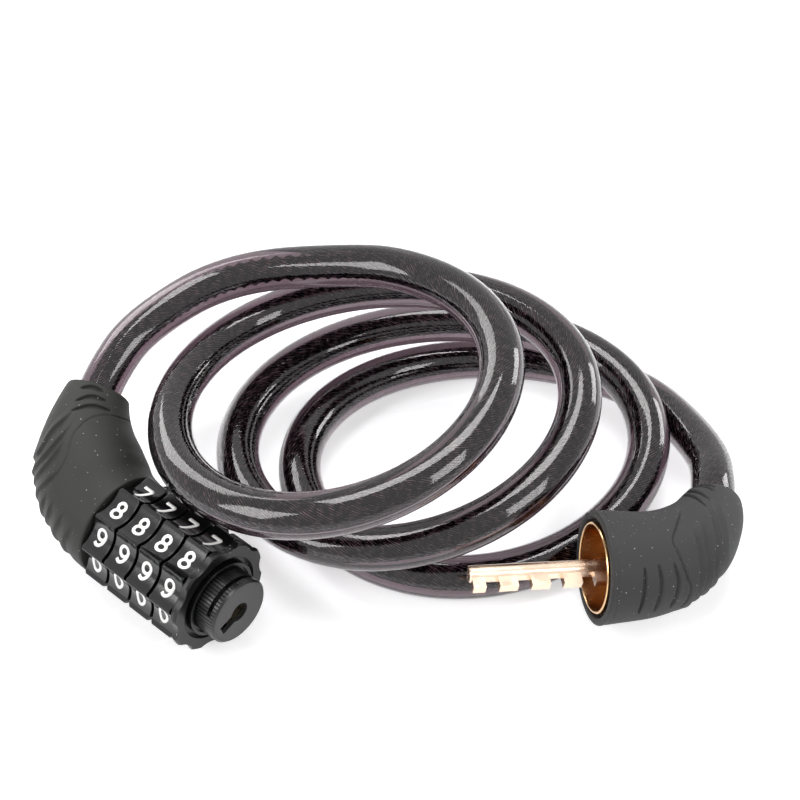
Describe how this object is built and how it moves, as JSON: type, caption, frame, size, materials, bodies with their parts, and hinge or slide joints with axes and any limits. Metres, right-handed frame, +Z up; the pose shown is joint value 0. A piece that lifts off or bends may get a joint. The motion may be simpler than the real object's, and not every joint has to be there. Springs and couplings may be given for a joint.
{
  "type": "bicycle cable lock",
  "caption": "Self-coiling bicycle cable lock, open: a resettable combination head with a turning setting knob, and a plug whose toothed pin fits it.",
  "frame": {"origin": "on the ground, under the centre of the box round the two heads", "axes": "+Z up; +X from the lock head to the plug head, to the right in the picture; +Y away from the viewer"},
  "size_m": [0.1917, 0.1225, 0.0635],
  "materials": {
    "soft_boot": "matt soft-touch black",
    "plug_boot": "matt dark grey",
    "dial": "gloss black with white figures",
    "cap": "satin black",
    "knob": "satin black, fluted",
    "face": "flat grey",
    "steel": "bare",
    "cast_core": "die-cast zinc",
    "brass": "turned",
    "pin": "pale, machined",
    "jacket": "clear smoky vinyl",
    "rope": "stranded wire"
  },
  "bodies": {
    "lock": {"lock_boot": "soft_boot", "lock_socket": "cast_core", "lock_cross_pin": "steel", "lock_ferrule": "steel", "barrel": "steel", "detent_spring": "steel", "ring_spring": "steel", "end_cap": "cap", "knob_clip": "steel", "cable_jacket": "jacket", "cable_core": "rope", "plug_boot": "plug_boot", "plug_socket": "cast_core", "plug_cross_pin": "steel", "plug_ferrule": "steel", "shroud_tube": "brass", "locking_pin": "pin"},
    "collar": {"shift_collar": "brass"},
    "knob": {"set_knob": "knob", "knob_face": "face"},
    "dial_1": {"dial_1": "dial"},
    "ring_1": {"code_ring_1": "brass"},
    "dial_2": {"dial_2": "dial"},
    "ring_2": {"code_ring_2": "brass"},
    "dial_3": {"dial_3": "dial"},
    "ring_3": {"code_ring_3": "brass"},
    "dial_4": {"dial_4": "dial"},
    "ring_4": {"code_ring_4": "brass"}
  },
  "joints": [
    {"name": "dial_1_turn", "type": "hinge", "parent": "lock", "child": "dial_1", "pos_m": [-0.06711, -0.00686, 0.0159], "axis": [0.7501, -0.6613, 0], "continuous": true},
    {"name": "dial_2_turn", "type": "hinge", "parent": "lock", "child": "dial_2", "pos_m": [-0.06074, -0.01248, 0.0159], "axis": [0.7501, -0.6613, 0], "continuous": true},
    {"name": "dial_3_turn", "type": "hinge", "parent": "lock", "child": "dial_3", "pos_m": [-0.05436, -0.0181, 0.0159], "axis": [0.7501, -0.6613, 0], "continuous": true},
    {"name": "dial_4_turn", "type": "hinge", "parent": "lock", "child": "dial_4", "pos_m": [-0.04798, -0.02372, 0.0159], "axis": [0.7501, -0.6613, 0], "continuous": true},
    {"name": "ring_1_shift", "type": "slide", "parent": "dial_1", "child": "ring_1", "axis": [-0.7501, 0.6613, 0], "range_m": [0, 0.0018]},
    {"name": "ring_2_shift", "type": "slide", "parent": "dial_2", "child": "ring_2", "axis": [-0.7501, 0.6613, 0], "range_m": [0, 0.0018]},
    {"name": "ring_3_shift", "type": "slide", "parent": "dial_3", "child": "ring_3", "axis": [-0.7501, 0.6613, 0], "range_m": [0, 0.0018]},
    {"name": "ring_4_shift", "type": "slide", "parent": "dial_4", "child": "ring_4", "axis": [-0.7501, 0.6613, 0], "range_m": [0, 0.0018]},
    {"name": "collar_shift", "type": "slide", "parent": "lock", "child": "collar", "axis": [-0.7501, 0.6613, 0], "range_m": [0, 0.0018]},
    {"name": "knob_turn", "type": "hinge", "parent": "lock", "child": "knob", "pos_m": [-0.0403, -0.0305, 0.0159], "axis": [0.7501, -0.6613, 0], "range_deg": [0, 90]}
  ],
  "couplings": [
    {"joint": "ring_1_shift", "follows": "collar_shift", "ratio": 1},
    {"joint": "ring_2_shift", "follows": "collar_shift", "ratio": 1},
    {"joint": "ring_3_shift", "follows": "collar_shift", "ratio": 1},
    {"joint": "ring_4_shift", "follows": "collar_shift", "ratio": 1},
    {"joint": "knob_turn", "follows": "collar_shift", "rad_per_m": 872.66}
  ]
}
